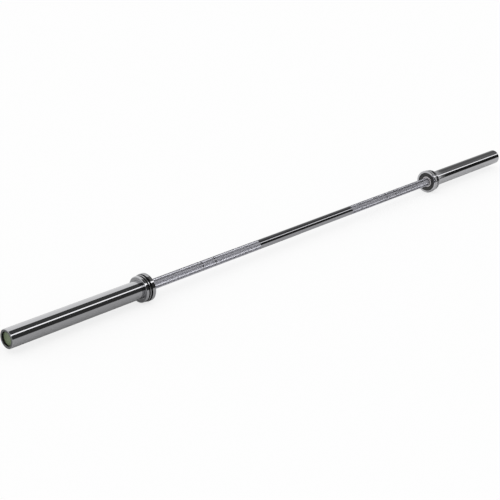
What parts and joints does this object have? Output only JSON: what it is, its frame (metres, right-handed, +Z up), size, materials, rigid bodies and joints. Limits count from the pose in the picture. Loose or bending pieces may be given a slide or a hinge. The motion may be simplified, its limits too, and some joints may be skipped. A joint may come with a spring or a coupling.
{
  "type": "olympic barbell",
  "caption": "Straight weightlifting bar with a knurled shaft, ring marks and grooved collars, and plain chromed sleeves that spin freely on needle bearings to carry plates.",
  "frame": {"origin": "middle of the bar, on its axis", "axes": "+X along the bar towards the right sleeve, +Z up, the bar lying level"},
  "size_m": [2.2, 0.076, 0.076],
  "materials": {
    "grip_steel": "polished, knurled grips",
    "chrome": "mirror",
    "black_ring": "satin black",
    "bright_steel": "bright",
    "rubber": "matte",
    "bearing_steel": "ground",
    "cage": "moulded",
    "spacer": "drawn tube",
    "cap_black": "gloss black",
    "cap_disc": "satin grey-green"
  },
  "bodies": {
    "shaft": {"shaft": "grip_steel", "left_outer_thrust_washer": "bearing_steel", "left_shaft_circlip": "bearing_steel", "right_outer_thrust_washer": "bearing_steel", "right_shaft_circlip": "bearing_steel"},
    "left_sleeve": {"left_sleeve_tube": "chrome", "left_collar": "chrome", "left_collar_face_ring": "black_ring", "left_dust_cover": "bright_steel", "left_grease_seal": "rubber", "left_inner_thrust_washer": "bearing_steel", "left_inner_bearing_cup": "bearing_steel", "left_outer_bearing_cup": "bearing_steel", "left_bearing_spacer": "spacer", "left_end_cap": "cap_black", "left_end_cap_disc": "cap_disc", "left_end_cap_seal_ring": "rubber"},
    "left_inner_cage": {"left_inner_bearing_cage": "cage", "left_inner_bearing_needles": "bearing_steel"},
    "left_outer_cage": {"left_outer_bearing_cage": "cage", "left_outer_bearing_needles": "bearing_steel"},
    "right_sleeve": {"right_sleeve_tube": "chrome", "right_collar": "chrome", "right_collar_face_ring": "black_ring", "right_dust_cover": "bright_steel", "right_grease_seal": "rubber", "right_inner_thrust_washer": "bearing_steel", "right_inner_bearing_cup": "bearing_steel", "right_outer_bearing_cup": "bearing_steel", "right_bearing_spacer": "spacer", "right_end_cap": "cap_black", "right_end_cap_disc": "cap_disc", "right_end_cap_seal_ring": "rubber"},
    "right_inner_cage": {"right_inner_bearing_cage": "cage", "right_inner_bearing_needles": "bearing_steel"},
    "right_outer_cage": {"right_outer_bearing_cage": "cage", "right_outer_bearing_needles": "bearing_steel"}
  },
  "joints": [
    {"name": "left_sleeve_spin", "type": "hinge", "parent": "shaft", "child": "left_sleeve", "pos_m": [-0.879, 0, 0], "axis": [1, 0, 0], "continuous": true},
    {"name": "left_inner_cage_spin", "type": "hinge", "parent": "shaft", "child": "left_inner_cage", "pos_m": [-0.6795, 0, 0], "axis": [1, 0, 0], "continuous": true},
    {"name": "left_outer_cage_spin", "type": "hinge", "parent": "shaft", "child": "left_outer_cage", "pos_m": [-1.051, 0, 0], "axis": [1, 0, 0], "continuous": true},
    {"name": "right_sleeve_spin", "type": "hinge", "parent": "shaft", "child": "right_sleeve", "pos_m": [0.879, 0, 0], "axis": [1, 0, 0], "continuous": true},
    {"name": "right_inner_cage_spin", "type": "hinge", "parent": "shaft", "child": "right_inner_cage", "pos_m": [0.6795, 0, 0], "axis": [1, 0, 0], "continuous": true},
    {"name": "right_outer_cage_spin", "type": "hinge", "parent": "shaft", "child": "right_outer_cage", "pos_m": [1.051, 0, 0], "axis": [1, 0, 0], "continuous": true}
  ],
  "couplings": [
    {"joint": "left_inner_cage_spin", "follows": "left_sleeve_spin", "ratio": 0.54644},
    {"joint": "left_outer_cage_spin", "follows": "left_sleeve_spin", "ratio": 0.54644},
    {"joint": "right_inner_cage_spin", "follows": "right_sleeve_spin", "ratio": 0.54644},
    {"joint": "right_outer_cage_spin", "follows": "right_sleeve_spin", "ratio": 0.54644}
  ]
}
